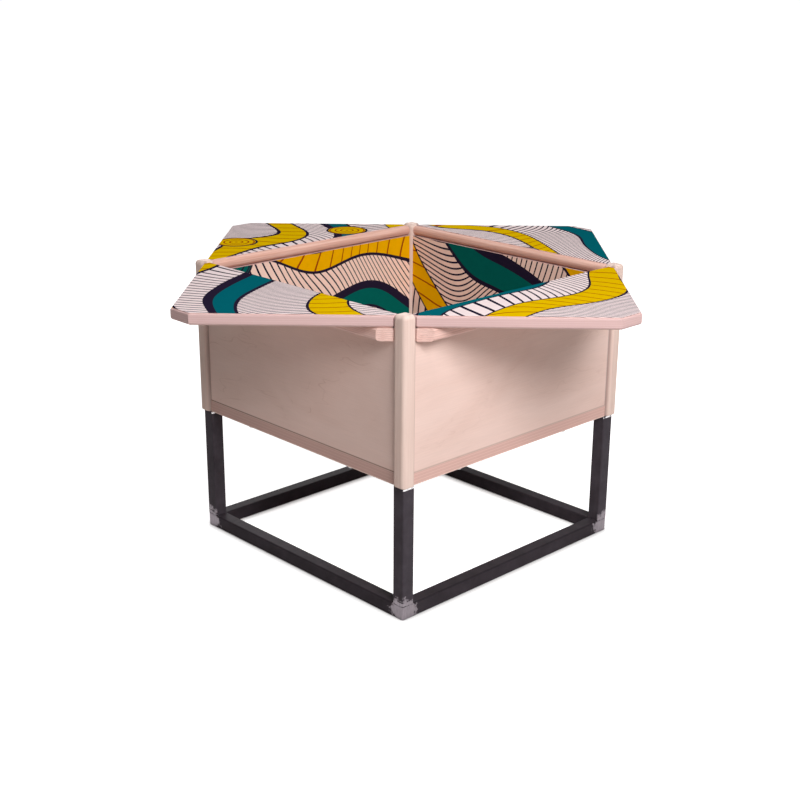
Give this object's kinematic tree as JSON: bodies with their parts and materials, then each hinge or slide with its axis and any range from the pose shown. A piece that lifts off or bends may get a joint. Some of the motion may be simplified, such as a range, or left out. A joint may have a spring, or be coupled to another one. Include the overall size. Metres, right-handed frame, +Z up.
{
  "type": "coffee table",
  "caption": "Square storage coffee table on a welded tube base, with triangular leaves that turn out from a closed lid to a wider top.",
  "frame": {"origin": "on the floor, under the middle of the box", "axes": "+Z up, X and Y along the sides of the box, front wall at -Y"},
  "size_m": [0.8076, 0.8076, 0.423],
  "materials": {
    "black_steel": "dark mill-finish square tube, waxed, welds ground bare",
    "birch_plywood": "pale birch plywood, sanded, matt oil",
    "solid_birch": "pale solid wood, sanded, matt oil",
    "printed_sheet": "printed decorative sheet, satin",
    "plain_steel": "plain turned steel"
  },
  "bodies": {
    "table": {"base_screws": "plain_steel", "bottom_panel": "birch_plywood", "leg_front_left": "black_steel", "leg_front_right": "black_steel", "leg_rear_left": "black_steel", "leg_rear_right": "black_steel", "leg_tab_front_left": "black_steel", "leg_tab_front_right": "black_steel", "leg_tab_rear_left": "black_steel", "leg_tab_rear_right": "black_steel", "lining_front": "printed_sheet", "lining_left": "printed_sheet", "lining_rear": "printed_sheet", "lining_right": "printed_sheet", "pivot_pins_front": "plain_steel", "pivot_pins_left": "plain_steel", "pivot_pins_rear": "plain_steel", "pivot_pins_right": "plain_steel", "post_front_left": "solid_birch", "post_front_right": "solid_birch", "post_rear_left": "solid_birch", "post_rear_right": "solid_birch", "rail_front": "black_steel", "rail_left": "black_steel", "rail_rear": "black_steel", "rail_right": "black_steel", "rest_batten_front": "solid_birch", "rest_batten_left": "solid_birch", "rest_batten_rear": "solid_birch", "rest_batten_right": "solid_birch", "stop_pegs": "plain_steel", "tab_screws": "plain_steel", "wall_dowels": "solid_birch", "wall_front": "birch_plywood", "wall_left": "birch_plywood", "wall_rear": "birch_plywood", "wall_right": "birch_plywood"},
    "leaf_front_body": {"leaf_front": "birch_plywood", "leaf_print_front": "printed_sheet"},
    "leaf_right_body": {"leaf_right": "birch_plywood", "leaf_print_right": "printed_sheet"},
    "leaf_rear_body": {"leaf_rear": "birch_plywood", "leaf_print_rear": "printed_sheet"},
    "leaf_left_body": {"leaf_left": "birch_plywood", "leaf_print_left": "printed_sheet"}
  },
  "joints": [
    {"name": "front_leaf_turn", "type": "hinge", "parent": "table", "child": "leaf_front_body", "pos_m": [0, -0.2125, 0.4125], "axis": [-1, 0, 0], "range_deg": [0, 180]},
    {"name": "right_leaf_turn", "type": "hinge", "parent": "table", "child": "leaf_right_body", "pos_m": [0.2125, 0, 0.4125], "axis": [0, -1, 0], "range_deg": [0, 180]},
    {"name": "rear_leaf_turn", "type": "hinge", "parent": "table", "child": "leaf_rear_body", "pos_m": [0, 0.2125, 0.4125], "axis": [1, 0, 0], "range_deg": [0, 180]},
    {"name": "left_leaf_turn", "type": "hinge", "parent": "table", "child": "leaf_left_body", "pos_m": [-0.2125, 0, 0.4125], "axis": [0, 1, 0], "range_deg": [0, 180]}
  ]
}
